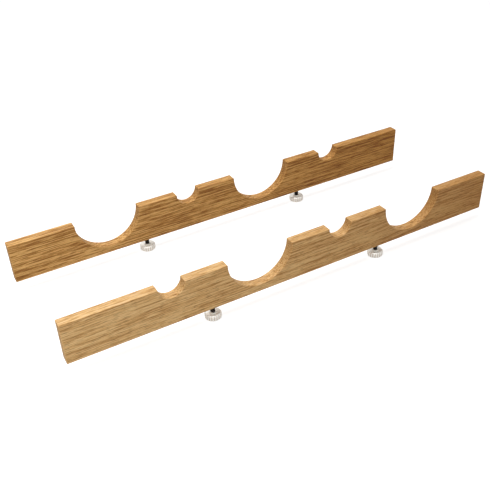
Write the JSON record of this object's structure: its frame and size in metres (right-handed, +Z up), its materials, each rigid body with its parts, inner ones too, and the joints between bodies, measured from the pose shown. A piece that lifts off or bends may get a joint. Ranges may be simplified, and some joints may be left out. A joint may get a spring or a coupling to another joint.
{
  "type": "bottle cradle rail pair",
  "caption": "Pair of oak rails with half-round cut-outs that cradle bottles lying head to tail, held to a shelf by studs and knurled thumb nuts.",
  "frame": {"origin": "under the middle of the pair, in the plane that the four thumb nuts stand on", "axes": "+X along the rails to the right, +Y from the front rail to the rear rail, +Z up"},
  "size_m": [0.558, 0.181, 0.0645],
  "materials": {
    "oak_rear": "oiled oak, darker board, satin",
    "oak_front": "oiled oak, lighter board, satin",
    "brass_insert": "turned brass",
    "black_steel_stud": "black oxide, satin",
    "nickel_washer": "bright nickel plate",
    "nickel_thumb_nut": "bright nickel plate"
  },
  "bodies": {
    "rear_rail": {"rear_rail": "oak_rear", "rear_left_threaded_insert": "brass_insert", "rear_left_stud": "black_steel_stud", "rear_right_threaded_insert": "brass_insert", "rear_right_stud": "black_steel_stud"},
    "front_rail": {"front_rail": "oak_front", "front_left_threaded_insert": "brass_insert", "front_left_stud": "black_steel_stud", "front_right_threaded_insert": "brass_insert", "front_right_stud": "black_steel_stud"},
    "rear_left_washer": {"rear_left_washer": "nickel_washer"},
    "rear_left_thumb_nut": {"rear_left_thumb_nut": "nickel_thumb_nut"},
    "rear_right_washer": {"rear_right_washer": "nickel_washer"},
    "rear_right_thumb_nut": {"rear_right_thumb_nut": "nickel_thumb_nut"},
    "front_left_washer": {"front_left_washer": "nickel_washer"},
    "front_left_thumb_nut": {"front_left_thumb_nut": "nickel_thumb_nut"},
    "front_right_washer": {"front_right_washer": "nickel_washer"},
    "front_right_thumb_nut": {"front_right_thumb_nut": "nickel_thumb_nut"}
  },
  "joints": [
    {"name": "rail_spacing", "type": "slide", "parent": "rear_rail", "child": "front_rail", "axis": [0, -1, 0], "range_m": [-0.06, 0.06]},
    {"name": "rear_left_washer_travel", "type": "slide", "parent": "rear_rail", "child": "rear_left_washer", "axis": [0, 0, 1], "range_m": [-0.008, 0.0074]},
    {"name": "rear_left_nut_turn", "type": "hinge", "parent": "rear_left_washer", "child": "rear_left_thumb_nut", "pos_m": [-0.115, 0.081, 0], "axis": [0, 0, 1], "range_deg": [-3600, 3330]},
    {"name": "rear_right_washer_travel", "type": "slide", "parent": "rear_rail", "child": "rear_right_washer", "axis": [0, 0, 1], "range_m": [-0.008, 0.0074]},
    {"name": "rear_right_nut_turn", "type": "hinge", "parent": "rear_right_washer", "child": "rear_right_thumb_nut", "pos_m": [0.107, 0.081, 0], "axis": [0, 0, 1], "range_deg": [-3600, 3330]},
    {"name": "front_left_washer_travel", "type": "slide", "parent": "front_rail", "child": "front_left_washer", "axis": [0, 0, 1], "range_m": [-0.008, 0.0074]},
    {"name": "front_left_nut_turn", "type": "hinge", "parent": "front_left_washer", "child": "front_left_thumb_nut", "pos_m": [-0.107, -0.081, 0], "axis": [0, 0, 1], "range_deg": [-3600, 3330]},
    {"name": "front_right_washer_travel", "type": "slide", "parent": "front_rail", "child": "front_right_washer", "axis": [0, 0, 1], "range_m": [-0.008, 0.0074]},
    {"name": "front_right_nut_turn", "type": "hinge", "parent": "front_right_washer", "child": "front_right_thumb_nut", "pos_m": [0.115, -0.081, 0], "axis": [0, 0, 1], "range_deg": [-3600, 3330]}
  ],
  "couplings": [
    {"joint": "rear_left_washer_travel", "follows": "rear_left_nut_turn", "m_per_rad": 0.00012732},
    {"joint": "rear_right_washer_travel", "follows": "rear_right_nut_turn", "m_per_rad": 0.00012732},
    {"joint": "front_left_washer_travel", "follows": "front_left_nut_turn", "m_per_rad": 0.00012732},
    {"joint": "front_right_washer_travel", "follows": "front_right_nut_turn", "m_per_rad": 0.00012732}
  ]
}
